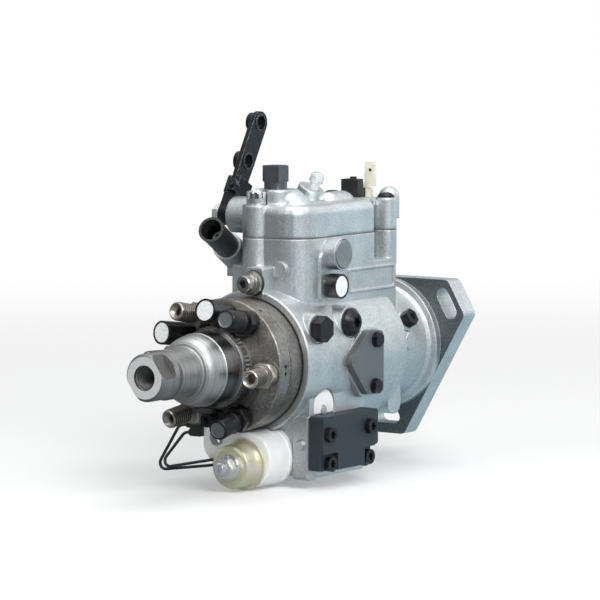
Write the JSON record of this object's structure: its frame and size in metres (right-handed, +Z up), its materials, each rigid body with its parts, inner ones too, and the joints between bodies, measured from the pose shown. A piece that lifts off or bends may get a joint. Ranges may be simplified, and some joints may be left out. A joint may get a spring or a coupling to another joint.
{
  "type": "distributor fuel injection pump",
  "caption": "Flange-mounted rotary distributor injection pump with governor housing, throttle lever, flared delivery fittings and advance unit.",
  "frame": {"origin": "centre of the pilot, on the mounting face of the flange", "axes": "+Y along the drive shaft towards the engine, the delivery head and inlet nose towards -Y; +Z up to the governor cover; +X to the side with the timing window"},
  "size_m": [0.1214, 0.3324, 0.2327],
  "materials": {
    "cast_aluminium": "fine sand-cast, bead-blasted",
    "gasket_black": "matt",
    "zinc_bright": "bright zinc",
    "head_steel": "turned, lightly oiled",
    "ground_steel": "ground",
    "black_zinc": "black passivate",
    "zinc_plated": "clear zinc",
    "clip_steel": "phosphated",
    "black_plastic": "moulded",
    "seal_foil": "foil",
    "bearing_bronze": "plain",
    "vent_nylon": "translucent white",
    "white_nylon": "moulded",
    "cream_nylon": "moulded",
    "window_grey": "phosphated plate",
    "gold_zinc": "yellow zinc"
  },
  "bodies": {
    "pump_body": {"housing": "cast_aluminium", "governor_cover": "cast_aluminium", "gaskets": "gasket_black", "cover_screws": "zinc_bright", "hydraulic_head": "head_steel", "seal_rings": "gasket_black", "head_screw": "black_zinc", "transfer_liner": "head_steel", "end_cap": "head_steel", "lock_ring": "head_steel", "lock_clip": "clip_steel", "fittings_plain": "zinc_plated", "fittings_dark": "black_zinc", "fitting_caps": "black_plastic", "sleeve_caps": "black_plastic", "seal_discs": "seal_foil", "socket_plug": "zinc_plated", "shaft_seal": "black_plastic", "shaft_bearing": "bearing_bronze", "arm_pivot": "ground_steel", "vent_cap": "vent_nylon", "return_connector": "black_zinc", "terminal_block": "black_plastic", "spade_terminal": "cream_nylon", "side_plug": "clip_steel", "timing_cover": "window_grey", "timing_screws": "black_zinc", "side_bolts": "black_zinc", "advance_spring": "zinc_bright", "advance_cover": "black_zinc", "advance_screws": "black_zinc", "nylon_tag": "white_nylon", "actuator_body": "white_nylon", "actuator_cup": "gold_zinc", "actuator_nut": "zinc_bright", "lead_wires": "black_plastic", "return_tube": "black_plastic"},
    "drive_line": {"drive_shaft": "ground_steel", "shaft_key": "head_steel", "shaft_nut": "head_steel", "rotor": "ground_steel", "plungers": "ground_steel", "transfer_blades": "ground_steel", "weight_retainer": "head_steel"},
    "sleeve": {"thrust_sleeve": "head_steel"},
    "flyweight_a": {"weight_a": "head_steel"},
    "flyweight_b": {"weight_b": "head_steel"},
    "flyweight_c": {"weight_c": "head_steel"},
    "flyweight_d": {"weight_d": "head_steel"},
    "governor": {"governor_arm": "clip_steel", "governor_spring": "zinc_bright"},
    "hook": {"linkage_hook": "clip_steel"},
    "metering": {"metering_valve": "ground_steel"},
    "cam": {"cam_ring": "head_steel"},
    "advance": {"advance_piston": "head_steel"},
    "throttle": {"throttle_shaft": "zinc_bright", "throttle_lever": "black_zinc", "lever_bushes": "black_zinc", "lever_clamp": "black_zinc", "lever_nut": "zinc_bright"}
  },
  "joints": [
    {"name": "drive_spin", "type": "hinge", "parent": "pump_body", "child": "drive_line", "pos_m": [0, 0, 0], "axis": [0, 1, 0], "continuous": true},
    {"name": "sleeve_slide", "type": "slide", "parent": "drive_line", "child": "sleeve", "axis": [0, 1, 0], "range_m": [0, 0.002]},
    {"name": "governor_tilt", "type": "hinge", "parent": "pump_body", "child": "governor", "pos_m": [0, -0.08, 0.032], "axis": [1, 0, 0], "range_deg": [0, 5.6]},
    {"name": "hook_slide", "type": "slide", "parent": "pump_body", "child": "hook", "axis": [0, -1, 0], "range_m": [0, 0.0029]},
    {"name": "metering_turn", "type": "hinge", "parent": "pump_body", "child": "metering", "pos_m": [-0.003, -0.1454, 0.04], "axis": [0, 0, 1], "range_deg": [-17, 0]},
    {"name": "advance_slide", "type": "slide", "parent": "pump_body", "child": "advance", "axis": [-1, 0, 0], "range_m": [0, 0.006]},
    {"name": "cam_turn", "type": "hinge", "parent": "pump_body", "child": "cam", "pos_m": [0, -0.1295, 0], "axis": [0, 1, 0], "range_deg": [0, 7]},
    {"name": "throttle_swing", "type": "hinge", "parent": "pump_body", "child": "throttle", "pos_m": [0, -0.1275, 0.0887], "axis": [1, 0, 0], "range_deg": [-20, 25]},
    {"name": "flyweight_a_swing", "type": "hinge", "parent": "drive_line", "child": "flyweight_a", "pos_m": [0.028, -0.1126, 0], "axis": [0, 0, -1], "range_deg": [0, 8.4]},
    {"name": "flyweight_b_swing", "type": "hinge", "parent": "drive_line", "child": "flyweight_b", "pos_m": [0, -0.1126, 0.028], "axis": [1, 0, 0], "range_deg": [0, 8.4]},
    {"name": "flyweight_c_swing", "type": "hinge", "parent": "drive_line", "child": "flyweight_c", "pos_m": [-0.028, -0.1126, 0], "axis": [0, 0, 1], "range_deg": [0, 8.4]},
    {"name": "flyweight_d_swing", "type": "hinge", "parent": "drive_line", "child": "flyweight_d", "pos_m": [0, -0.1126, -0.028], "axis": [-1, 0, 0], "range_deg": [0, 8.4]}
  ],
  "couplings": [
    {"joint": "flyweight_a_swing", "follows": "sleeve_slide", "rad_per_m": 72.2},
    {"joint": "flyweight_b_swing", "follows": "sleeve_slide", "rad_per_m": 72.2},
    {"joint": "flyweight_c_swing", "follows": "sleeve_slide", "rad_per_m": 72.2},
    {"joint": "flyweight_d_swing", "follows": "sleeve_slide", "rad_per_m": 72.2},
    {"joint": "governor_tilt", "follows": "sleeve_slide", "rad_per_m": 46.5},
    {"joint": "hook_slide", "follows": "sleeve_slide", "ratio": 1.395},
    {"joint": "metering_turn", "follows": "sleeve_slide", "rad_per_m": -140.91},
    {"joint": "cam_turn", "follows": "advance_slide", "rad_per_m": 20}
  ]
}
